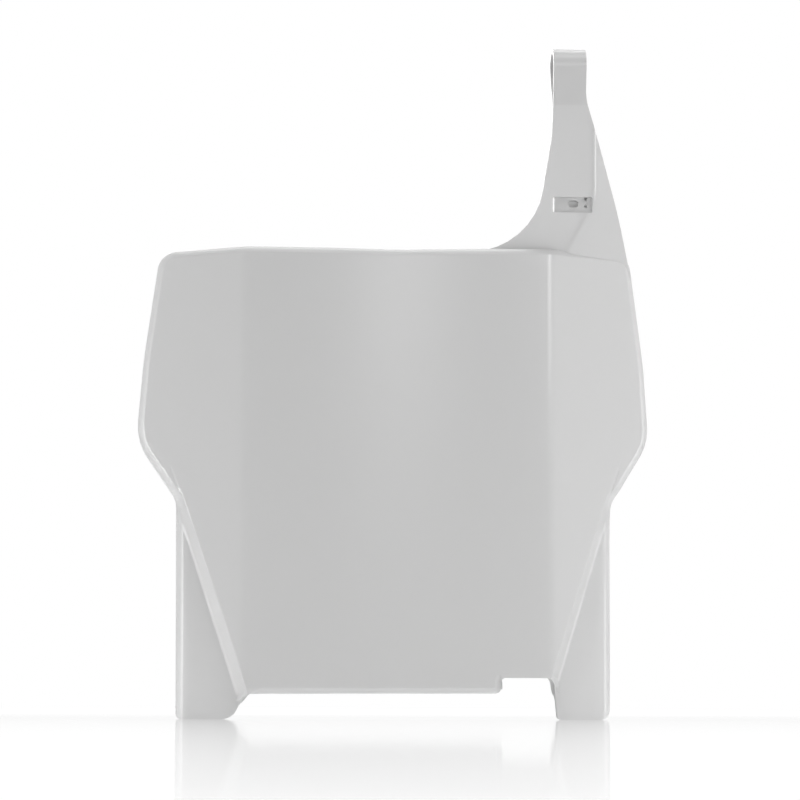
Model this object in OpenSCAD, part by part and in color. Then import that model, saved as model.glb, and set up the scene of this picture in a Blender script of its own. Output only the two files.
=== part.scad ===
// Front number board of an off-road motorbike, moulded as one piece.
// X runs across it, the front faces -Y and Z is up. The origin is in the middle of the
// loop, on the axis of the handlebar crossbar that carries the board. Sizes below are
// measured from the board's own middle line, from the ground under its two feet, and
// back from the foremost line of its face.

/* [Face in plan] */
// Radius of the shallow arc across the middle of the face
face_radius = 385; // [250:5:900]
// Distance from the middle to each vertical crease
crease_x = 73; // [50:1:80]
// Radius of the bend at each crease
crease_radius = 18; // [14:1:30]
// Angle at which each wing folds back from the flat
wing_angle = 28; // [18:1:40]

/* [Face in elevation] */
// Distance from the middle to the widest point of each wing
tip_x = 124.4; // [118:0.2:135]
// Height of the widest point of each wing
tip_z = 133; // [125:0.5:145]
// How far the top edge dips in the middle
top_dip = 2.2; // [0:0.1:8]
// Distance from the middle to the two highest points of the top edge
top_peak_x = 73; // [50:1:90]
// Height of those two points
top_peak_z = 225.2; // [200:1:245]
// Distance from the middle to each top corner
top_corner_x = 113.8; // [105:0.2:118]
// Height of each top corner
top_corner_z = 222.4; // [200:1:240]
// Height of the bottom edge above the ground
bottom_z = 12.3; // [8:0.1:20]
// Distance from the middle to each bottom corner of the face
bottom_corner_x = 74; // [68:0.2:80]
// Distance from the middle to the slight corner half-way down each outer edge
flank_x = 121.2; // [115:0.2:123]
// Height of that slight corner
flank_z = 172; // [150:1:200]
// Distance from the middle to the elbow between wing tip and slanting lower edge
elbow_x = 105.8; // [100:0.2:114]
// Height of the elbow
elbow_z = 105; // [95:1:115]

/* [Wall and rim] */
// Thickness of the moulded wall
wall = 2.4; // [1.8:0.1:3]
// Outer radius of the rolled edge all round the face
rim_radius = 3.2; // [2.6:0.1:5]
// Depth of the rim behind the face
rim_depth = 12; // [9:0.5:18]

/* [Legs] */
// How far each leg is set back behind the face
leg_setback = 5.5; // [4:0.1:7]
// Distance from the middle to the outer edge of each leg
leg_outer_x = 104.4; // [100:0.2:106]
// Distance from the middle to the inner edge of the left foot
left_foot_x = 78.7; // [74:0.1:84]
// Distance from the middle to the inner edge of the right foot
right_foot_x = 76.6; // [74:0.2:82]
// Radius of the turned-back outer edge of each leg
leg_turn_radius = 5; // [3.5:0.5:7]
// Straight return behind the turned-back edge
leg_return = 3; // [1:0.5:8]

/* [Notch in the bottom edge] */
// Distance from the middle to the left side of the notch
notch_left_x = 48.6; // [38:0.2:58]
// Distance from the middle to the right side of the notch
notch_right_x = 71.9; // [66:0.1:73]
// Height of the top of the notch
notch_top_z = 19.7; // [16:0.1:30]
// Radius in the corners of the notch
notch_radius = 2; // [0.5:0.1:3]

/* [Arm] */
// Depth of the front of the arm behind the foremost line of the face
arm_y = 12.5; // [11:0.1:14]
// Where the left edge of the arm would meet the top edge of the face
arm_foot_x = 65.5; // [58:0.5:72]
// Radius of the sweep from the top edge into the arm
arm_sweep_radius = 34; // [18:1:38]
// Distance from the middle to the fold along the upper arm
arm_fold_x = 95.6; // [93:0.2:102]
// Height at which the fold turns in towards the crease
arm_fold_z = 250; // [244:1:262]
// Distance from the middle to the fold where it meets the top edge
arm_fold_low_x = 82; // [78:0.5:88]
// Distance from the middle to the shoulder on the right edge
shoulder_x = 108.9; // [105:0.1:113]
// Height of the shoulder
shoulder_z = 236; // [230:1:245]

/* [Bar loop] */
// Diameter of the handlebar crossbar that the loop holds
bar_diameter = 12.7; // [10:0.1:16]
// Thickness of the strap round the bar
strap_thickness = 2.2; // [1.6:0.1:3]
// Width of the strap
strap_width = 15.4; // [12:0.2:17]
// Distance from the middle of the board to the middle of the strap
strap_x = 83.3; // [82.3:0.1:84.3]
// Height of the middle of the bar
bar_z = 316; // [306:1:330]
// How far the bar's axis lies behind the front of the arm
bar_offset = 5.2; // [4:0.1:7]
// Height at which the two sides of the loop come together
loop_foot_z = 296; // [286:1:299]

/* [Strap end and window] */
// Left side of the window
window_left_x = 74.8; // [73:0.2:77]
// Width of the window
window_width = 18.8; // [17:0.2:19]
// Height of the lower edge of the window
window_z = 244.4; // [242:0.2:248]
// Height of the opening of the window
window_height = 6.8; // [5:0.1:9]
// Margin of the strap's end pad round the window, above and below
pad_margin = 5; // [3:0.5:7]
// Width of the end pad
pad_width = 18.4; // [16:0.2:18.6]
// Length of the oval stud on the end pad
stud_length = 6.4; // [5:0.1:8]
// Height of the oval stud
stud_height = 4.2; // [3:0.1:4.6]
// How far the stud stands up from the pad
stud_rise = 1; // [0.5:0.1:2]
// Diameter of the two small holes beside the stud
pin_hole = 1.2; // [0.8:0.1:1.6]
// Distance between the two small holes
pin_pitch = 2.8; // [2.2:0.1:3.4]

/* [Hidden] */
plastic = [0.78, 0.785, 0.79];
// Steps in the middle arc, in each crease bend and in each rounded corner
face_steps = 8;
bend_steps = 4;
corner_steps = 5;
roll_fn = 24;
curve_fn = 64;
// Room past the object for cutting solids
reach = 400;
// How far joined walls run into one another
lap = wall * 0.6;
// Angle of the face's normal where the arc meets the crease bend
arc_angle = asin((crease_x - crease_radius * sin(wing_angle / 4)) / face_radius);
bend_centre = (face_radius - crease_radius) * [sin(arc_angle), -cos(arc_angle)] + [0, face_radius];
wing_length = 80;
tip_radius = 14;
corner_radius = 7;
bottom_radius = 6;
top_mid_z = top_peak_z - top_dip;
// How far each part of the outer shape runs on inside its neighbour
overlap = 8;
upper_low_z = elbow_z - 5 * overlap;
lower_top_z = elbow_z + 2.5 * overlap;
loop_inner = bar_diameter / 2;
loop_outer = loop_inner + strap_thickness;
bar_y = arm_y + bar_offset;
arm_back = arm_y + wall;
bar_centre = [bar_y, bar_z];
loop_foot = [arm_back, loop_foot_z];
pad_z = window_z - pad_margin;
pad_height = window_height + 2 * pad_margin;
pad_left = window_left_x - 0.8;
stud_x = pad_left + pad_width * 0.5;
pin_x = pad_left + pad_width - 2;
window_mid = window_z + window_height / 2;

// Points on an arc, with angles measured from the front-facing normal
function arc(c, r, from, to, n) =
    [for (i = [0:n]) let (q = from + (to - from) * i / n) c + r * [sin(q), -cos(q)]];

// Half of the plan curve, a given depth behind the face and parallel to it
function half_curve(depth) = concat(
    arc([0, face_radius], face_radius - depth, 0, arc_angle, face_steps),
    arc(bend_centre, crease_radius - depth, arc_angle, wing_angle, bend_steps)
);

// Where a straight wing, carried on from the bend, ends
function wing_end(depth) =
    bend_centre + (crease_radius - depth) * [sin(wing_angle), -cos(wing_angle)]
    + wing_length * [cos(wing_angle), sin(wing_angle)];

function half_plan(depth) = concat(half_curve(depth), [wing_end(depth)]);
function flipped(points) = [for (i = [len(points) - 1:-1:0]) [-points[i][0], points[i][1]]];

// An arc that rounds the corner b between a and c
function fillet(a, b, c, r, n) = let (
    u = (a - b) / norm(a - b), v = (c - b) / norm(c - b),
    half = acos(u * v) / 2, turn = 180 - 2 * half,
    m = b + (u + v) / norm(u + v) * r / sin(half),
    s = b + u * r / tan(half) - m, e = b + v * r / tan(half) - m)
    [for (i = [0:n]) m + (sin((1 - i / n) * turn) * s + sin(i / n * turn) * e) / sin(turn)];

// A closed outline from corners given as [x, z, radius]
function rounded(p) = [for (i = [0:len(p) - 1]) let (
    a = p[(i + len(p) - 1) % len(p)], b = p[i], c = p[(i + 1) % len(p)])
    each b[2] == 0 ? [[b[0], b[1]]]
        : fillet([a[0], a[1]], [b[0], b[1]], [c[0], c[1]], b[2], corner_steps)];

// Right half of the face's outline, from the middle of the top edge downwards
face_corners = [
    [0, top_mid_z, 0],
    [top_peak_x, top_peak_z, 0],
    [top_corner_x, top_corner_z, corner_radius],
    [flank_x, flank_z, 0],
    [tip_x, tip_z, tip_radius],
    [elbow_x, elbow_z, 0],
    [bottom_corner_x, bottom_z, bottom_radius]
];
face_outline = rounded(concat(face_corners,
    [for (i = [len(face_corners) - 1:-1:1]) let (c = face_corners[i]) [-c[0], c[1], c[2]]]));

// Everything that lies more than a given depth behind the face
module behind(depth) {
    translate([0, 0, -reach / 4]) linear_extrude(reach * 1.5)
        polygon(concat(flipped(half_plan(depth)), [for (i = [1:len(half_plan(depth)) - 1])
            half_plan(depth)[i]], [[reach, reach], [-reach, reach]]));
}

// An elevation drawn in X and Z, extruded along Y through the whole board
module through(from = -20, to = 80) {
    translate([0, to, 0]) rotate([90, 0, 0]) linear_extrude(to - from) children();
}

module face_area(inset) {
    offset(delta = -inset) polygon(face_outline);
}

// The point at height z on the line through a and b
function at_height(a, b, z) = [a[0] + (b[0] - a[0]) * (z - a[1]) / (b[1] - a[1]), z, 0];

// Right half of the upper part, which runs a little past the middle into its mirror image
upper_corners = [
    [-overlap, top_mid_z - overlap * top_dip / top_peak_x, 0],
    face_corners[1], face_corners[2], face_corners[3], face_corners[4],
    at_height([tip_x, tip_z], [elbow_x, elbow_z], upper_low_z),
    [-overlap, upper_low_z, 0]
];

// The lower part, whose slanting edges run on up inside the upper part
lower_side = at_height([bottom_corner_x, bottom_z], [elbow_x, elbow_z], lower_top_z);
lower_corners = [
    [-lower_side[0], lower_top_z, 0], lower_side,
    [bottom_corner_x, bottom_z, bottom_radius], [-bottom_corner_x, bottom_z, bottom_radius]
];

// A part of the face's outer shape, with its edges rolled
module rolled_block(corners) {
    minkowski() {
        intersection() {
            behind(rim_radius);
            through(0, 60) offset(delta = -rim_radius) polygon(rounded(corners));
        }
        sphere(rim_radius, $fn = roll_fn);
    }
}

// The dished face with its rolled edge and rim
module tray() {
    difference() {
        union() {
            rolled_block(upper_corners);
            mirror([1, 0, 0]) rolled_block(upper_corners);
            rolled_block(lower_corners);
        }
        intersection() {
            behind(wall);
            through() face_area(wall);
        }
        behind(rim_depth);
    }
}

// Plan of one leg: parallel to the wing, then turned back at its outer edge
module leg_plan() {
    front = half_plan(leg_setback);
    away = [sin(wing_angle), -cos(wing_angle)];
    along = [cos(wing_angle), sin(wing_angle)];
    start = front[len(front) - 2];
    run = (leg_outer_x - leg_turn_radius * (1 - sin(wing_angle)) - start[0]) / along[0];
    turn = start + run * along - leg_turn_radius * away;
    outer = arc(turn, leg_turn_radius, wing_angle, 90, corner_steps);
    inner = arc(turn, leg_turn_radius - wall, 90, wing_angle, corner_steps);
    back = half_curve(leg_setback + wall);
    tail = [for (i = [len(back) - 1:-1:0]) back[i]];
    front_part = [for (i = [0:len(front) - 2]) front[i]];
    polygon(concat(front_part, outer, [outer[corner_steps] + [0, leg_return],
        inner[0] + [0, leg_return]], inner, tail));
}

module leg(inner_corners) {
    intersection() {
        linear_extrude(elbow_z + 12) leg_plan();
        through() difference() {
            polygon(rounded(concat(inner_corners, [
                [bottom_corner_x - 8, bottom_z + 8, 0],
                [elbow_x - 6, elbow_z + 8, 0],
                [leg_outer_x + 2, elbow_z + 8, 0],
                [leg_outer_x + 2, leg_turn_radius, 0],
                [leg_outer_x - 2.5, 0, 3]
            ])));
            face_area(lap);
        }
    }
}

module left_leg() {
    mirror([1, 0, 0]) leg([
        [left_foot_x, 0, 7],
        [left_foot_x - 6, bottom_z - 0.4, 5],
        [bottom_corner_x - 19, bottom_z, 0],
        [bottom_corner_x - 19, bottom_z + 8, 0]
    ]);
}

module right_leg() {
    leg([
        [right_foot_x, 0, 2],
        [notch_right_x + 0.4, notch_top_z - 2, 0]
    ]);
}

module notch() {
    through() polygon(rounded([
        [notch_left_x, bottom_z - 5, 0],
        [notch_left_x, notch_top_z, notch_radius],
        [notch_right_x, notch_top_z, notch_radius],
        [notch_right_x + 1.4, bottom_z, 0],
        [notch_right_x + 1.4, bottom_z - 5, 0]
    ]));
}

// Room behind the arm's front face, which folds back along its right side
module behind_arm(depth) {
    intersection() {
        translate([-reach, arm_y + depth, 0]) cube([2 * reach, 80, reach]);
        translate([arm_fold_x, arm_y, arm_fold_z]) rotate([0, 0, wing_angle])
            translate([-reach, depth, -reach]) cube([2 * reach, reach, 2 * reach]);
        translate([arm_fold_x, arm_y, arm_fold_z])
            rotate([0, atan2(arm_fold_x - arm_fold_low_x, arm_fold_z - top_peak_z), 0])
            rotate([0, 0, wing_angle]) translate([-reach, depth, -reach])
            cube([2 * reach, reach, 2 * reach]);
    }
}

module arm() {
    strap_left = strap_x - strap_width / 2;
    strap_right = strap_x + strap_width / 2;
    difference() {
        intersection() {
            difference() {
                behind_arm(0);
                behind_arm(wall);
            }
            through() difference() {
                polygon(rounded([
                    [30, top_mid_z - 6, 0],
                    [30, top_peak_z - 1.4, 0],
                    [arm_foot_x, top_peak_z - 0.4, arm_sweep_radius],
                    [strap_left, loop_foot_z, 0],
                    [strap_right, loop_foot_z, 0],
                    [shoulder_x, shoulder_z, 60],
                    [top_corner_x + 1.4, top_corner_z - 12, 0],
                    [top_corner_x - 8, top_corner_z - 14, 0]
                ]));
                face_area(lap);
            }
        }
        translate([window_left_x, arm_y - 20, window_z])
            cube([window_width, 20 + wall + 2, window_height]);
    }
}

// Outward direction of the front (1) or rear (-1) side of the loop, tangent to the ring
function loop_out(side) = let (
    to_bar = bar_centre - loop_foot,
    lean = atan2(to_bar[0], to_bar[1]) - side * asin(loop_inner / norm(to_bar)))
    -side * [cos(lean), -sin(lean)];

// One side of the loop: a straight run from its foot up to the ring
module loop_side(side) {
    out = loop_out(side);
    polygon([bar_centre + loop_inner * out, bar_centre + loop_outer * out,
        loop_foot + strap_thickness * out, loop_foot]);
}

// Side view of the strap: over the bar, together at the foot, down the arm's back
module strap() {
    translate([strap_x - strap_width / 2, 0, 0]) rotate([90, 0, 90])
        linear_extrude(strap_width) difference() {
            union() {
                translate(bar_centre) circle(loop_outer, $fn = curve_fn);
                loop_side(1);
                loop_side(-1);
                translate([arm_back, pad_z + 1]) square([strap_thickness, loop_foot_z - pad_z - 1]);
            }
            translate(bar_centre) circle(loop_inner, $fn = curve_fn);
            polygon([loop_foot, bar_centre + loop_inner * loop_out(1), bar_centre,
                bar_centre + loop_inner * loop_out(-1)]);
        }
}

module strap_end() {
    difference() {
        union() {
            translate([pad_left, arm_back, pad_z]) cube([pad_width, strap_thickness, pad_height]);
            translate([stud_x, arm_back + 0.2, window_mid]) rotate([90, 0, 0])
                linear_extrude(stud_rise + 0.2) {
                    spread = (stud_length - stud_height) / 2;
                    for (side = [-1, 1])
                        translate([side * spread, 0]) circle(d = stud_height, $fn = curve_fn);
                    square([2 * spread, stud_height], center = true);
                }
        }
        for (side = [-1, 1])
            translate([pin_x, arm_back + strap_thickness + 1, window_mid + side * pin_pitch / 2])
                rotate([90, 0, 0]) cylinder(h = strap_thickness + 2, d = pin_hole, $fn = 24);
    }
}

module number_board() {
    color(plastic) translate([-strap_x, -bar_y, -bar_z]) difference() {
        union() {
            tray();
            left_leg();
            right_leg();
            arm();
            strap();
            strap_end();
        }
        notch();
    }
}

number_board();
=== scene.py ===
# %% [markdown]
# A front number board is one thin moulding: a dished face with a rolled rim, two legs that
# step back from it, and an arm that ends in a strap looped over the handlebar. The frame
# holds its sizes, so the script first loads it and notes the box it fills.

# %% Load the frame
import math
import bmesh
import bpy
from mathutils import Matrix, Vector


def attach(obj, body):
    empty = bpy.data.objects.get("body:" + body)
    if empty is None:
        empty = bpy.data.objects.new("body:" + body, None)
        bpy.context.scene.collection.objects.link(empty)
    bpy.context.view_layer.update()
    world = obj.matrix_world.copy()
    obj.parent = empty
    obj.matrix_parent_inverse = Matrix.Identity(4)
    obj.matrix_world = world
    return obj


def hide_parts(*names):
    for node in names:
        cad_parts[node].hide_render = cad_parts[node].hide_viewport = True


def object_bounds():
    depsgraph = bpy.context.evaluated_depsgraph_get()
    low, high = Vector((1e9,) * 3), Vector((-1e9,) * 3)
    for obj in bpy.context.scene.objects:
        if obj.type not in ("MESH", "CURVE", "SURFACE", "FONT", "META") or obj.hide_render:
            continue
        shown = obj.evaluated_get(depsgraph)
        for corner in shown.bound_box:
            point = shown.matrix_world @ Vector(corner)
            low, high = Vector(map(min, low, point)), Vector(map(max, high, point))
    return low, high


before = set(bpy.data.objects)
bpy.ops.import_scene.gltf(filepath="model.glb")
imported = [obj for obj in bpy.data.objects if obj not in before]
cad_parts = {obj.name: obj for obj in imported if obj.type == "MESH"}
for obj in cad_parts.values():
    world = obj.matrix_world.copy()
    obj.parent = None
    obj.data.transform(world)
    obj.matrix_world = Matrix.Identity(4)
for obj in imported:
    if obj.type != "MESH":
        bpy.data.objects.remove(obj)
cad_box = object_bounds()
MM = 0.001
low, high = cad_box
middle_x = (low[0] + high[0]) / 2
front_y = low[1]
ground_z = low[2]
print("frame box in mm:", [round((b - a) / MM, 1) for a, b in zip(low, high)])

# %% [markdown]
# All sizes below are in millimetres, measured across from the board's middle, back from the
# foremost line of its face and up from the feet. One function turns them into the frame.

# %% Board sizes
FACE_RADIUS, CREASE_X, CREASE_RADIUS = 385, 73, 16
WING_ANGLE = math.radians(28)
WALL, ROLL, RIM = 2.4, 3.2, 12
SETBACK, HOLLOW, HOLLOW_WIDTH = 5.5, 3.4, 20
TOP_MID, TOP_CREASE, BOTTOM = 223, 225.2, 12.3
LEG_X, ELBOW_X, ELBOW_Z = 104.3, 105.4, 104.6
NOTCH_LEFT, NOTCH_RIGHT, NOTCH_TOP, FOOT_RIGHT = 48.6, 75, 19.7, 77.1
ARM_Y, ARM_FOLD_X, ARM_FOLD_Z, ARM_FOLD_LOW = 12.5, 95.6, 250, 82
STRAP_X, STRAP_WIDTH, STRAP = 83.05, 15.9, 2.2
BAR_Y, BAR_Z, BAR_RADIUS, LOOP_FOOT = 17.7, 316, 6.35, 296
WINDOW_LEFT, WINDOW_RIGHT, WINDOW_LOW, WINDOW_HIGH = 74.8, 94.1, 243.6, 251.2
PAD_LEFT, PAD_RIGHT, PAD_LOW, PAD_HIGH = 75.9, 95.2, 239.4, 256.2
ARC_END = math.asin((CREASE_X - CREASE_RADIUS * math.sin(WING_ANGLE / 4)) / FACE_RADIUS)


def in_frame(x, y, z):
    return Vector((middle_x + x * MM, front_y + y * MM, ground_z + z * MM))


def face_depth(x):
    """How far the face lies behind its foremost line, at a distance x from the middle."""
    x = abs(x)
    bend_x = (FACE_RADIUS - CREASE_RADIUS) * math.sin(ARC_END)
    bend_y = FACE_RADIUS - (FACE_RADIUS - CREASE_RADIUS) * math.cos(ARC_END)
    if x <= FACE_RADIUS * math.sin(ARC_END):
        return FACE_RADIUS - math.sqrt(FACE_RADIUS**2 - x**2)
    wing_x = bend_x + CREASE_RADIUS * math.sin(WING_ANGLE)
    if x <= wing_x:
        return bend_y - math.sqrt(CREASE_RADIUS**2 - (x - bend_x) ** 2)
    return bend_y - CREASE_RADIUS * math.cos(WING_ANGLE) + (x - wing_x) * math.tan(WING_ANGLE)


print("depth at crease and elbow:", round(face_depth(CREASE_X), 2), round(face_depth(ELBOW_X), 2))

# %% [markdown]
# Every outline here is a chain of corners, each with its own radius, as a moulder's drawing
# gives them. Turning each corner into a short arc keeps the drawing short and the edge smooth.

# %% Outlines from rounded corners


def rounded(corners, steps=8):
    """Points of a closed outline from corners given as (x, z, radius)."""
    points = []
    for i, (x, z, radius) in enumerate(corners):
        here = Vector((x, z))
        if radius == 0:
            points.append(here)
            continue
        before = (Vector(corners[i - 1][:2]) - here).normalized()
        after = (Vector(corners[(i + 1) % len(corners)][:2]) - here).normalized()
        half = before.angle(after) / 2
        centre = here + (before + after).normalized() * (radius / math.sin(half))
        start = here + before * (radius / math.tan(half)) - centre
        end = here + after * (radius / math.tan(half)) - centre
        turn = math.pi - 2 * half
        for k in range(steps + 1):
            share = k / steps
            points.append(centre + (math.sin((1 - share) * turn) * start
                                    + math.sin(share * turn) * end) / math.sin(turn))
    return points


def smaller(corners, distance):
    """The same outline drawn in by a distance: outer corners sharpen and hollow ones widen."""
    moved = []
    for i, (x, z, radius) in enumerate(corners):
        here = Vector((x, z))
        before = (here - Vector(corners[i - 1][:2])).normalized()
        after = (Vector(corners[(i + 1) % len(corners)][:2]) - here).normalized()
        inwards = Vector((before.y + after.y, -before.x - after.x))
        place = here + inwards * distance / (1 + before.dot(after))
        hollow = before.cross(after) > 0
        moved.append((*place, radius + distance if hollow else max(radius - distance, 0.01)))
    return moved


sheet_corners = [
    (0, TOP_MID, 300), (CREASE_X, TOP_CREASE, 60), (114.4, 224.6, 7), (121.9, 172, 200),
    (124.6, 134.4, 26), (ELBOW_X, ELBOW_Z, 12), (LEG_X, 0, 5), (FOOT_RIGHT, 0, 2),
    (NOTCH_RIGHT, NOTCH_TOP, 4.6), (NOTCH_LEFT, NOTCH_TOP, 2.4), (NOTCH_LEFT, BOTTOM, 2.6),
    (-71.7, BOTTOM - 0.4, 5), (-78.3, 0, 7.4), (-LEG_X, 0, 2.6), (-ELBOW_X + 0.5, ELBOW_Z, 12),
    (-124.4, 133.4, 28), (-121.2, 172, 200), (-113.8, 223.7, 9), (-CREASE_X, TOP_CREASE - 0.5, 60)]
print("face outline:", len(rounded(sheet_corners)), "points")

# %% [markdown]
# The face starts flat, as a set of rings. Each ring is a slightly smaller copy of the outline
# and carries the depth that it will get, so the rolled edge is in the mesh before anything
# bends. The roll is soft and rather flat, which is what FLATNESS sets: 1 would be a quarter
# circle. It fades down the legs, because the feet are plain cut edges.

# %% Roll and rim of the face
ROLL_STEPS = 6
FLATNESS = 1.48
FOOT_SHARE, FADE_START, FADE_HEIGHT = 0.08, 12, 95
BOTTOM_END, BOTTOM_FADE = 72, 8
NOTCH_FADE, NOTCH_ZONE, NOTCH_REACH = 2.4, 30, 0.4
SAME_POINT = 0.02


def smooth_step(value):
    value = min(max(value, 0), 1)
    return value * value * (3 - 2 * value)


def rim_share(x, z):
    """1 where the edge has its full rolled rim, less down the legs and next to none at the feet."""
    on_leg = FOOT_SHARE + (1 - FOOT_SHARE) * smooth_step((z - FADE_START) / FADE_HEIGHT)
    near_bottom = smooth_step((BOTTOM_END - abs(x)) / BOTTOM_FADE)
    if x > 0 and z < NOTCH_ZONE:
        near_bottom = smooth_step((NOTCH_LEFT + NOTCH_REACH - x) / NOTCH_FADE)
    return on_leg + (1 - on_leg) * near_bottom


def rolled_sheet(corners, radius, steps):
    """A flat face in rings that follow its rolled edge, each point with the depth it will get."""
    mesh = bmesh.new()
    depth = mesh.verts.layers.float.new("depth")
    rings = []
    for k in range(steps + 1):
        angle = math.pi / 2 * k / steps
        points = rounded(smaller(corners, radius * (1 - max(math.cos(angle), 0) ** FLATNESS)))
        rings.append([mesh.verts.new((p.x, 0, p.y)) for p in points])
        for vert in rings[-1]:
            vert[depth] = radius * (1 - math.sin(angle) ** FLATNESS)
    for outer, inner in zip(rings, rings[1:]):
        for i in range(len(outer)):
            mesh.faces.new((outer[i - 1], inner[i - 1], inner[i], outer[i]))
    mesh.faces.new(reversed(rings[-1]))
    mesh.normal_update()
    return mesh, depth


face, depth_layer = rolled_sheet(sheet_corners, ROLL, ROLL_STEPS)
bmesh.ops.remove_doubles(face, verts=face.verts[:], dist=SAME_POINT)
if max(face.faces, key=lambda f: f.calc_area()).normal.y > 0:
    bmesh.ops.reverse_faces(face, faces=face.faces[:])
rim_edges = [e for e in face.edges if e.is_boundary]
rim_verts = [g for g in bmesh.ops.extrude_edge_only(face, edges=rim_edges)["geom"]
             if isinstance(g, bmesh.types.BMVert)]
for vert in rim_verts:
    vert[depth_layer] = RIM
print("rolled face:", len(face.verts), "points")

# %% [markdown]
# The wide middle of the flat face can't bend yet, so it is sliced: close columns at the creases
# and at the turned edge of the legs, wider ones elsewhere, a few rows, and slanting cuts along
# each diagonal, where the face steps back to the leg. Cutting with planes leaves the rolled
# edge as it was drawn. Each cut is shifted by a hair, so that it misses the drawn points.

# %% Slice the face so that it can bend
DIAGONAL_LOW, DIAGONAL_HIGH = Vector((70.6, BOTTOM)), Vector((101.5, 105))
STEP_WIDTH, STEP_CUTS = 4.4, 9
COLUMN, COLUMNS_EACH_SIDE = 6, 20
CREASE_FROM, CREASE_TO, CREASE_CUTS = 62, 84, range(65, 81)
TURN_CUTS = (98, 99.5, 101, 102.5, 104)
ROW, ROWS = 12, 18
COLUMN_SHIFT, ROW_SHIFT = 0.013, 0.017
along = (DIAGONAL_HIGH - DIAGONAL_LOW).normalized()
outwards = Vector((along.y, -along.x))


def slice_mesh(mesh, point, normal):
    everything = mesh.verts[:] + mesh.edges[:] + mesh.faces[:]
    bmesh.ops.bisect_plane(mesh, geom=everything, dist=1e-5, plane_co=point, plane_no=normal)


columns = [step * COLUMN for step in range(-COLUMNS_EACH_SIDE, COLUMNS_EACH_SIDE + 1)]
columns = [x for x in columns if not CREASE_FROM < abs(x) < CREASE_TO]
columns += [side * x for side in (-1, 1) for x in CREASE_CUTS]
columns += [side * x for side in (-1, 1) for x in TURN_CUTS]
for x in columns:
    slice_mesh(face, (x + COLUMN_SHIFT, 0, 0), (1, 0, 0))
for row in range(1, ROWS + 1):
    slice_mesh(face, (0, 0, row * ROW + ROW_SHIFT), (0, 0, 1))
for side in (-1, 1):
    for step in range(-1, STEP_CUTS + 5):
        near = DIAGONAL_LOW + outwards * (step * STEP_WIDTH / STEP_CUTS)
        slice_mesh(face, (side * near.x, 0, near.y), (side * outwards.x, 0, outwards.y))
print("sliced face:", len(face.faces), "faces")

# %% [markdown]
# Now each point takes its depth: the plan curve of the face, its share of the rolled rim,
# and outside the diagonals the step down to the leg, which starts at a crisp edge and runs
# out in a soft hollow. STEP_SOFT is the share of its width in which it eases off, and it gets
# wider lower down. The outer edge of each leg turns back a little further.

# %% Bend the face and set back the legs
STEP_TOP, STEP_FADE, STEP_SPREAD = 112, 12, 70
STEP_SOFT = 0.4
TURN_X, TURN_WIDTH, TURN_DEPTH, TURN_TOP, TURN_FADE = 99.4, 5, 2.6, 104, 14


def leg_step(x, z):
    """How far a point outside the diagonal steps back: a flat slope, then a soft hollow."""
    outside = (Vector((abs(x), z)) - DIAGONAL_LOW).dot(outwards)
    share = min(max(outside / (STEP_WIDTH + (ELBOW_Z - z) / STEP_SPREAD), 0), 1)
    past = max(share - (1 - STEP_SOFT), 0)
    eased = (share - past * past / (2 * STEP_SOFT)) / (1 - STEP_SOFT / 2)
    rise = HOLLOW * max(1 - outside / HOLLOW_WIDTH, 0) ** 2
    return (SETBACK + rise) * eased * smooth_step((STEP_TOP - z) / STEP_FADE)


def leg_turn(x, z):
    """The turned-back outer edge of a leg."""
    past = max(abs(x) - TURN_X, 0) / TURN_WIDTH
    return TURN_DEPTH * past * past * smooth_step((TURN_TOP - z) / TURN_FADE)


for vert in face.verts:
    x, z = vert.co.x, vert.co.z
    vert.co.y = (face_depth(x) + vert[depth_layer] * rim_share(x, z)
                 + leg_step(x, z) + leg_turn(x, z))
print("bent face:", len(face.verts), "points")

# %% [markdown]
# A sheet becomes a moulding when it gets its wall. One function moves a finished sheet into
# the frame, thickens it inwards and takes the sharpness off its cut edges.

# %% Turn a sheet into a moulding
FACE_EDGE, ARM_EDGE = 0.4, 0.3
ARM_WALL = 2.3
SHARP_ANGLE = math.radians(50)


def moulding(name, mesh, wall, edge):
    """An object from a bent sheet in millimetres, with its wall behind the drawn side."""
    bmesh.ops.remove_doubles(mesh, verts=mesh.verts[:], dist=SAME_POINT)
    bmesh.ops.dissolve_degenerate(mesh, edges=mesh.edges[:], dist=SAME_POINT)
    for vert in mesh.verts:
        vert.co = in_frame(*vert.co)
    data = bpy.data.meshes.new(name)
    mesh.to_mesh(data)
    mesh.free()
    sheet = bpy.data.objects.new(name, data)
    bpy.context.collection.objects.link(sheet)
    wall_step = sheet.modifiers.new("wall", "SOLIDIFY")
    wall_step.thickness = wall * MM
    wall_step.offset = -1
    wall_step.use_quality_normals = True
    edge_step = sheet.modifiers.new("edges", "BEVEL")
    edge_step.width = edge * MM
    edge_step.segments = 2
    edge_step.limit_method = "ANGLE"
    edge_step.angle_limit = SHARP_ANGLE
    shade_step = sheet.modifiers.new("shading", "WEIGHTED_NORMAL")
    shade_step.keep_sharp = True
    for polygon in data.polygons:
        polygon.use_smooth = True
    return sheet


board = moulding("board_face", face, WALL, FACE_EDGE)
print("face sheet:", len(board.data.polygons), "faces")

# %% [markdown]
# The arm, the strap and its end pad are one long flat pattern. The part above the arm is the
# strap: it is laid out by its length, so it can be wound over the bar afterwards. The path
# below is the strap's outer side, from the arm's front over the bar and down the back.

# %% The way of the strap
OUTER = BAR_RADIUS + STRAP
BACK_Y = ARM_Y + WALL + STRAP
bar = Vector((BAR_Y, BAR_Z))


def tangent(foot, side):
    """Length and touching point of the straight run from a foot to the ring round the bar."""
    to_bar = bar - foot
    length = math.sqrt(to_bar.length**2 - OUTER**2)
    lean = math.atan2(to_bar.x, to_bar.y) - side * math.asin(OUTER / to_bar.length)
    return length, foot + length * Vector((math.sin(lean), math.cos(lean)))


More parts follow.
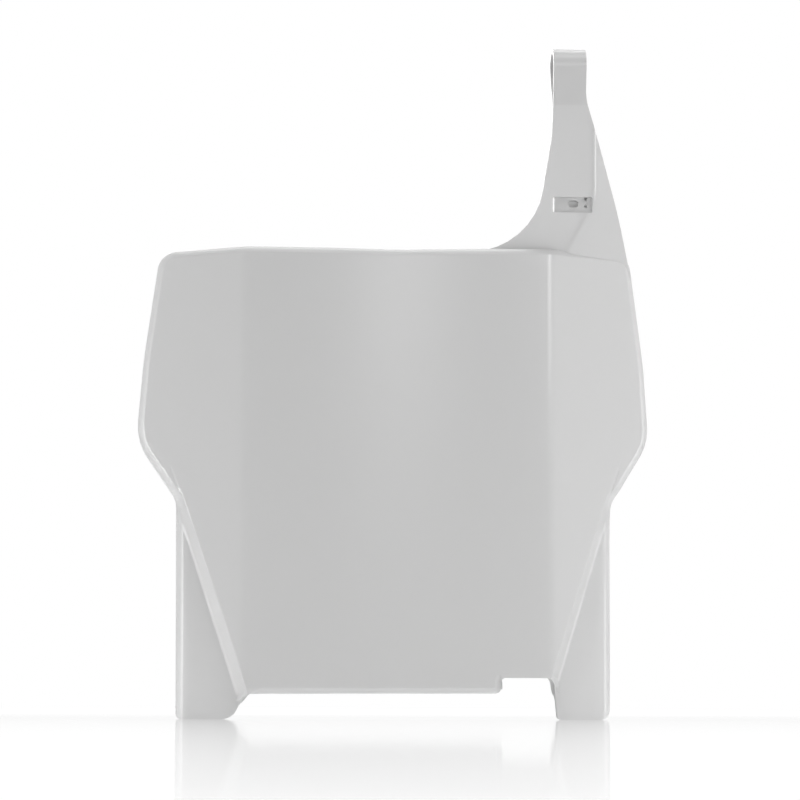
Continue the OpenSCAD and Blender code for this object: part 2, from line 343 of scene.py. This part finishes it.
front_foot, back_foot = Vector((ARM_Y, LOOP_FOOT)), Vector((BACK_Y, LOOP_FOOT))
front_run, front_touch = tangent(front_foot, 1)
back_run, back_touch = tangent(back_foot, -1)
front_angle = math.atan2(front_touch.y - BAR_Z, front_touch.x - BAR_Y) % (2 * math.pi)
back_angle = math.atan2(back_touch.y - BAR_Z, back_touch.x - BAR_Y)
ring_run = OUTER * (front_angle - back_angle)
back_start = LOOP_FOOT + front_run + ring_run + back_run


def strap_point(height):
    """Where a height on the flat pattern lands in the side view, as (y, z)."""
    past = height - LOOP_FOOT
    if past <= 0:
        return Vector((ARM_Y, height))
    if past <= front_run:
        return front_foot.lerp(front_touch, past / front_run)
    past -= front_run
    if past <= ring_run:
        angle = front_angle - past / OUTER
        return bar + OUTER * Vector((math.cos(angle), math.sin(angle)))
    past -= ring_run
    if past <= back_run:
        return back_touch.lerp(back_foot, past / back_run)
    return back_foot - Vector((0, past - back_run))


def on_back(z):
    """The height on the flat pattern of a point that ends up behind the arm."""
    return back_start + LOOP_FOOT - z


print("strap length over the bar:", round(back_start - LOOP_FOOT, 1), "mm")

# %% [markdown]
# The end pad carries an oval stud and two pin holes. Their places are needed twice: for the
# openings in the flat pattern and for the small parts set into them afterwards.

# %% Places of the stud and the pin holes
PIN_X, PIN_Z, PIN_PITCH, PIN_RADIUS, PIN_WALL = 91.1, 248.8, 3.7, 0.7, 0.3
STUD_X, STUD_Z, STUD_LENGTH, STUD_HEIGHT = 85.1, 248.1, 5.6, 4.1
STUD_WALL, STUD_RISE = 0.4, 0.2
OPENING_LAP = 0.2
PIN_SIZE = 2 * (PIN_RADIUS + PIN_WALL)
pins = [(PIN_X, PIN_Z + side * PIN_PITCH / 2) for side in (-1, 1)]


def oval(x, z, length, height, steps=32):
    """Points of an oval with straight long sides, or of a circle where both sizes agree."""
    points = []
    for k in range(steps):
        angle = 2 * math.pi * (k + 0.5) / steps
        shift = math.copysign((length - height) / 2, math.cos(angle))
        points.append(Vector((x + shift + height / 2 * math.cos(angle),
                              z + height / 2 * math.sin(angle))))
    return points


print("pin holes at", [tuple(round(v, 2) for v in pin) for pin in pins])

# %% [markdown]
# The pattern is filled as one sheet, with the window, the pin holes and the stud's place left
# open. Then it is sliced where it will bend: along both folds of the arm and all the way up
# the strap. Here too each cut is shifted by a hair.

# %% Flat pattern of arm and strap
WINDOW_CORNER = 0.8
ARM_FOOT, ARM_ROW, ARM_ROWS = 212, 3, 28
STRAP_ROW, FOLD_ROW, FOLD_CUTS = 0.9, 0.5, range(-7, 8)
ARM_SHIFT, STRAP_SHIFT, FOLD_SHIFT = 0.011, 0.013, 0.007
strap_left, strap_right = STRAP_X - STRAP_WIDTH / 2, STRAP_X + STRAP_WIDTH / 2
pattern = rounded([
    (30, 222.4, 0), (CREASE_X, 223.9, 0), (112.3, 221, 6), (114, 211, 0), (116.2, 210.6, 0),
    (109.6, 236, 60), (strap_right, 299.5, 30), (strap_right, on_back(PAD_HIGH), 0),
    (PAD_RIGHT, on_back(PAD_HIGH), 1), (PAD_RIGHT, on_back(PAD_LOW), 1.5),
    (PAD_LEFT, on_back(PAD_LOW), 1.5), (PAD_LEFT, on_back(PAD_HIGH), 1),
    (strap_left, on_back(PAD_HIGH), 0), (strap_left, LOOP_FOOT, 0), (74.5, 281, 40),
    (65.2, 224.8, 36), (30, 223.8, 0)])
window = rounded([(WINDOW_LEFT, WINDOW_LOW, WINDOW_CORNER),
                  (WINDOW_RIGHT, WINDOW_LOW, WINDOW_CORNER),
                  (WINDOW_RIGHT, WINDOW_HIGH, WINDOW_CORNER),
                  (WINDOW_LEFT, WINDOW_HIGH, WINDOW_CORNER)], steps=3)
pin_opening = PIN_SIZE - 2 * OPENING_LAP
hollows = [oval(x, on_back(z), pin_opening, pin_opening, steps=16) for x, z in pins]
hollows.append(oval(STUD_X, on_back(STUD_Z), STUD_LENGTH - 2 * OPENING_LAP,
                    STUD_HEIGHT - 2 * OPENING_LAP))
arm = bmesh.new()
for loop in [pattern, window] + hollows:
    ring = [arm.verts.new((p.x, 0, p.y)) for p in loop]
    for i, vert in enumerate(ring):
        arm.edges.new((ring[i - 1], vert))
bmesh.ops.triangle_fill(arm, edges=arm.edges[:], use_beauty=True, normal=(0, -1, 0))
fold_along = Vector((ARM_FOLD_X - ARM_FOLD_LOW, ARM_FOLD_Z - TOP_CREASE)).normalized()
fold_across = Vector((fold_along.y, -fold_along.x))
for k in range(ARM_ROWS):
    slice_mesh(arm, (0, 0, ARM_FOOT + ARM_ROW * k + ARM_SHIFT), (0, 0, 1))
for k in range(int((back_start - LOOP_FOOT) / STRAP_ROW)):
    slice_mesh(arm, (0, 0, LOOP_FOOT + STRAP_ROW * k + STRAP_SHIFT), (0, 0, 1))
for k in FOLD_CUTS:
    slice_mesh(arm, (ARM_FOLD_X + FOLD_ROW * k + FOLD_SHIFT, 0, 0), (1, 0, 0))
    near = Vector((ARM_FOLD_X, ARM_FOLD_Z)) + fold_across * FOLD_ROW * k
    slice_mesh(arm, (near.x, 0, near.y), (fold_across.x, 0, fold_across.y))
print("arm pattern:", len(arm.faces), "faces")

# %% [markdown]
# The arm folds back to the right of a line that runs down its upper half and then slants in
# towards the crease. Taking the larger of the two planes' depths gives both folds at once,
# and a small softening rounds them as a mould would.

# %% Fold the arm and wind the strap
MEETING_SOFTNESS, FOLD_SOFTNESS, FOLD_SINK = 0.5, 0.6, 0.05


def soft_larger(a, b, softness):
    """The larger of two values, with the change from one to the other rounded off."""
    return (a + b + math.sqrt((a - b) ** 2 + softness**2)) / 2


def arm_fold(x, z):
    """How far the right side of the arm folds back."""
    upper = (x - ARM_FOLD_X) * math.tan(WING_ANGLE)
    across = (Vector((x, z)) - Vector((ARM_FOLD_X, ARM_FOLD_Z))).dot(fold_across)
    lower = across * math.tan(WING_ANGLE)
    folded = soft_larger(upper, lower, MEETING_SOFTNESS)
    return soft_larger(0, folded, FOLD_SOFTNESS) - FOLD_SINK


for vert in arm.verts:
    x, height = vert.co.x, vert.co.z
    y, z = strap_point(height)
    if height < LOOP_FOOT:
        y += arm_fold(x, z)
    vert.co.y, vert.co.z = y, z
arm_piece = moulding("arm_and_strap", arm, ARM_WALL, ARM_EDGE)
print("arm sheet:", len(arm_piece.data.polygons), "faces")

# %% [markdown]
# An oval stud stands on the strap's end pad and shows through the window, with two pin holes
# beside it. All three are small cups set into the pad: a wall, a rounded lip and a floor.

# %% Stud and pin holes in the end pad
SEAT_DEPTH, FLOOR_DEPTH = 0.12, 0.35
LIP_SHARE, PIN_SINK = 0.4, 0.05


def cup(name, x, z, length, height, wall, front):
    """A closed oval cup that opens forwards, from rings that run round its wall."""
    mesh = bmesh.new()
    back, lip = BACK_Y - SEAT_DEPTH, wall * LIP_SHARE
    profile = [(back, 0), (front + lip, 0), (front + lip * 0.3, lip * 0.3), (front, lip),
               (front, wall - lip * 0.5), (front + lip * 0.5, wall), (back - FLOOR_DEPTH, wall)]
    rings = [[mesh.verts.new((p.x, y, p.y)) for p in
              oval(x, z, length - 2 * inset, height - 2 * inset)] for y, inset in profile]
    for outer, inner in zip(rings, rings[1:]):
        for i in range(len(outer)):
            mesh.faces.new((outer[i - 1], outer[i], inner[i], inner[i - 1]))
    mesh.faces.new(rings[0])
    mesh.faces.new(rings[-1])
    bmesh.ops.recalc_face_normals(mesh, faces=mesh.faces[:])
    for vert in mesh.verts:
        vert.co = in_frame(*vert.co)
    data = bpy.data.meshes.new(name)
    mesh.to_mesh(data)
    mesh.free()
    for polygon in data.polygons:
        polygon.use_smooth = len(polygon.vertices) == 4
    piece = bpy.data.objects.new(name, data)
    bpy.context.collection.objects.link(piece)
    return piece


pad_front = ARM_Y + WALL
stud_piece = cup("strap_stud", STUD_X, STUD_Z, STUD_LENGTH, STUD_HEIGHT, STUD_WALL,
                 pad_front - STUD_RISE)
pin_pieces = [cup("pin_hole_" + word, x, z, PIN_SIZE, PIN_SIZE, PIN_WALL, pad_front + PIN_SINK)
              for word, (x, z) in zip(("low", "high"), pins)]
print("stud:", len(stud_piece.data.polygons), "faces")

# %% [markdown]
# The plastic is a pale grey moulding: satin gloss, with the fine unevenness that a moulded
# sheet has. The noise sits in object coordinates, so it stays put from every side.

# %% Plastic


def plastic_material():
    material = bpy.data.materials.new("pale_grey_plastic")
    material.use_nodes = True
    nodes, links = material.node_tree.nodes, material.node_tree.links
    shader = nodes["Principled BSDF"]
    shader.inputs["Base Color"].default_value = (0.606, 0.606, 0.606, 1)
    shader.inputs["Roughness"].default_value = 0.28
    shader.inputs["IOR"].default_value = 1.46
    place = nodes.new("ShaderNodeTexCoord")
    grain = nodes.new("ShaderNodeTexNoise")
    grain.inputs["Scale"].default_value = 1400
    grain.inputs["Detail"].default_value = 3
    bump = nodes.new("ShaderNodeBump")
    bump.inputs["Strength"].default_value = 0.06
    bump.inputs["Distance"].default_value = 0.0001
    links.new(place.outputs["Object"], grain.inputs["Vector"])
    links.new(grain.outputs["Fac"], bump.inputs["Height"])
    links.new(bump.outputs["Normal"], shader.inputs["Normal"])
    return material


plastic = plastic_material()
pieces = [board, arm_piece, stud_piece] + pin_pieces
for piece in pieces:
    piece.data.materials.append(plastic)
    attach(piece, "root")
    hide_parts("number_board")
print("pieces:", [piece.name for piece in pieces])

# %% [markdown]
# The stage is a large pale table with a faint mirror in it. The mirror fades out towards the
# camera and again behind the board, so the table has no far edge to see. To the camera it is
# white where nothing is mirrored in it, and it keeps a little of the board's shadow.

# %% Table
TABLE_GREY, TABLE_ROUGHNESS, TABLE_HALF = 0.86, 0.9, 4
MIRROR_ROUGHNESS, MIRROR_LEVEL, MIRROR_CURVE = 0.05, 0.82, 0.43
MIRROR_START, MIRROR_FULL = -1.28, 0
MIRROR_FADES, MIRROR_ENDS = 0.1, 0.9
WHITE_LEVEL, WHITE_SHARE = 1.06, 0.92


def sum_node(nodes, operation, value=None):
    """A math node, with its second number where that one is fixed."""
    node = nodes.new("ShaderNodeMath")
    node.operation = operation
    if value is not None:
        node.inputs[1].default_value = value
    return node


def range_node(nodes, from_values, to_values=(0, 1)):
    """A node that turns one range of values into another and stops at both ends."""
    node = nodes.new("ShaderNodeMapRange")
    node.inputs["From Min"].default_value, node.inputs["From Max"].default_value = from_values
    node.inputs["To Min"].default_value, node.inputs["To Max"].default_value = to_values
    return node


def table_material():
    material = bpy.data.materials.new("table")
    material.use_nodes = True
    nodes, links = material.node_tree.nodes, material.node_tree.links
    shader = nodes["Principled BSDF"]
    shader.inputs["Base Color"].default_value = (TABLE_GREY, TABLE_GREY, TABLE_GREY, 1)
    shader.inputs["Roughness"].default_value = TABLE_ROUGHNESS
    mirror = nodes.new("ShaderNodeBsdfGlossy")
    mirror.inputs["Color"].default_value = (1, 1, 1, 1)
    mirror.inputs["Roughness"].default_value = MIRROR_ROUGHNESS
    glow = nodes.new("ShaderNodeEmission")
    glow.inputs["Strength"].default_value = WHITE_LEVEL
    path = nodes.new("ShaderNodeLightPath")
    share = sum_node(nodes, "MULTIPLY", WHITE_SHARE)
    whiten = nodes.new("ShaderNodeMixShader")
    place = nodes.new("ShaderNodeTexCoord")
    split = nodes.new("ShaderNodeSeparateXYZ")
    in_front = range_node(nodes, (MIRROR_START, MIRROR_FULL))
    curved = sum_node(nodes, "POWER", MIRROR_CURVE)
    level = sum_node(nodes, "MULTIPLY", MIRROR_LEVEL)
    behind = range_node(nodes, (MIRROR_FADES, MIRROR_ENDS), (1, 0))
    both = sum_node(nodes, "MULTIPLY")
    mix = nodes.new("ShaderNodeMixShader")
    links.new(path.outputs["Is Camera Ray"], share.inputs[0])
    links.new(share.outputs["Value"], whiten.inputs["Fac"])
    links.new(shader.outputs["BSDF"], whiten.inputs[1])
    links.new(glow.outputs["Emission"], whiten.inputs[2])
    links.new(place.outputs["Object"], split.inputs["Vector"])
    links.new(split.outputs["Y"], in_front.inputs["Value"])
    links.new(in_front.outputs["Result"], curved.inputs[0])
    links.new(curved.outputs["Value"], level.inputs[0])
    links.new(split.outputs["Y"], behind.inputs["Value"])
    links.new(level.outputs["Value"], both.inputs[0])
    links.new(behind.outputs["Result"], both.inputs[1])
    links.new(both.outputs["Value"], mix.inputs["Fac"])
    links.new(whiten.outputs["Shader"], mix.inputs[1])
    links.new(mirror.outputs["BSDF"], mix.inputs[2])
    links.new(mix.outputs["Shader"], nodes["Material Output"].inputs["Surface"])
    return material


table_corners = [(x * TABLE_HALF, y * TABLE_HALF, ground_z)
                 for x, y in ((-1, -1), (1, -1), (1, 1), (-1, 1))]
floor_mesh = bpy.data.meshes.new("table")
floor_mesh.from_pydata(table_corners, [], [(0, 1, 2, 3)])
floor_mesh.materials.append(table_material())
floor = bpy.data.objects.new("table", floor_mesh)
bpy.context.collection.objects.link(floor)
print("table at", round(ground_z, 4))

# %% [markdown]
# The room is white to the camera and in reflections. Its own light on the board is faint, so
# the lamps do the shading.

# %% Room
ROOM_LIGHT, ROOM_SEEN = 0.18, 1


def white_room():
    world = bpy.data.worlds.new("white_room")
    world.use_nodes = True
    nodes, links = world.node_tree.nodes, world.node_tree.links
    room_light = nodes["Background"]
    room_light.inputs["Color"].default_value = (1, 1, 1, 1)
    room_light.inputs["Strength"].default_value = ROOM_LIGHT
    seen = nodes.new("ShaderNodeBackground")
    seen.inputs["Color"].default_value = (1, 1, 1, 1)
    seen.inputs["Strength"].default_value = ROOM_SEEN
    path = nodes.new("ShaderNodeLightPath")
    either = sum_node(nodes, "MAXIMUM")
    mix = nodes.new("ShaderNodeMixShader")
    links.new(path.outputs["Is Camera Ray"], either.inputs[0])
    links.new(path.outputs["Is Glossy Ray"], either.inputs[1])
    links.new(either.outputs["Value"], mix.inputs["Fac"])
    links.new(room_light.outputs["Background"], mix.inputs[1])
    links.new(seen.outputs["Background"], mix.inputs[2])
    links.new(mix.outputs["Shader"], nodes["World Output"].inputs["Surface"])
    return world


bpy.context.scene.world = white_room()
print("room light:", ROOM_LIGHT)

# %% [markdown]
# Nine soft lamps stand round the board. Those above and to the right are the stronger ones, so
# the right wing and the rim's top are brighter than the left wing. The front lamp and the strip
# lamp show in the plastic's sheen alone, as soft streaks: their plain light is switched off.

# %% Lamps
LOOK_AT = (0, 20, 140)


def soft_lamp(name, place, size, power, sheen_only=False):
    """A rectangular lamp turned towards the board, with its place in board millimetres."""
    light = bpy.data.lights.new(name, "AREA")
    light.shape = "RECTANGLE"
    light.size, light.size_y = size
    light.energy = power
    lamp = bpy.data.objects.new(name, light)
    lamp.location = in_frame(*place)
    lamp.visible_diffuse = not sheen_only
    look = in_frame(*LOOK_AT) - lamp.location
    lamp.rotation_euler = look.to_track_quat("-Z", "Y").to_euler()
    bpy.context.collection.objects.link(lamp)
    return lamp


soft_lamp("front_lamp", (130, -1600, 480), (0.4, 0.25), 2.3, sheen_only=True)
soft_lamp("right_lamp", (1450, -450, 420), (0.8, 1.0), 3.3)
soft_lamp("strip_lamp", (1030, -1150, 600), (0.05, 0.36), 6.5, sheen_only=True)
soft_lamp("left_low_lamp", (-1200, -100, 110), (0.4, 0.2), 2.7)
soft_lamp("right_back_lamp", (1300, 250, 160), (0.4, 0.5), 3.1)
soft_lamp("left_back_lamp", (-1300, 250, 160), (0.4, 0.5), 1.9)
soft_lamp("top_lamp", (0, -600, 1350), (1.4, 0.6), 7.8)
soft_lamp("top_back_lamp", (0, 350, 1400), (1.2, 0.5), 6.5)
soft_lamp("back_lamp", (200, 1700, 900), (1.2, 0.8), 7)

# %% [markdown]
# The camera stands a metre and a half away, a little to the left and as low as the feet. It
# looks up slightly, because the board in the photograph leans back by that much.

# %% Camera
CAMERA_PLACE = (-113.5, -1493.4, 7.9)
YAW, PITCH, TILT = math.radians(4.354), math.radians(5.447), math.radians(0.149)
LENS, SENSOR, FAR_LIMIT = 142.93, 36, 50
forward = Vector((math.sin(YAW) * math.cos(PITCH), math.cos(YAW) * math.cos(PITCH), math.sin(PITCH)))
level = Vector((math.cos(YAW), -math.sin(YAW), 0))
upright = level.cross(forward)
right = level * math.cos(TILT) + upright * math.sin(TILT)
above = upright * math.cos(TILT) - level * math.sin(TILT)
camera_data = bpy.data.cameras.new("camera")
camera_data.lens = LENS
camera_data.sensor_width = SENSOR
camera_data.clip_end = FAR_LIMIT
camera = bpy.data.objects.new("camera", camera_data)
axes = Matrix((right, above, -forward)).transposed().to_4x4()
camera.matrix_world = Matrix.Translation(in_frame(*CAMERA_PLACE)) @ axes
bpy.context.collection.objects.link(camera)
bpy.context.scene.camera = camera
bpy.context.scene.view_settings.view_transform = "Standard"
print("camera at", [round(v, 3) for v in camera.location])
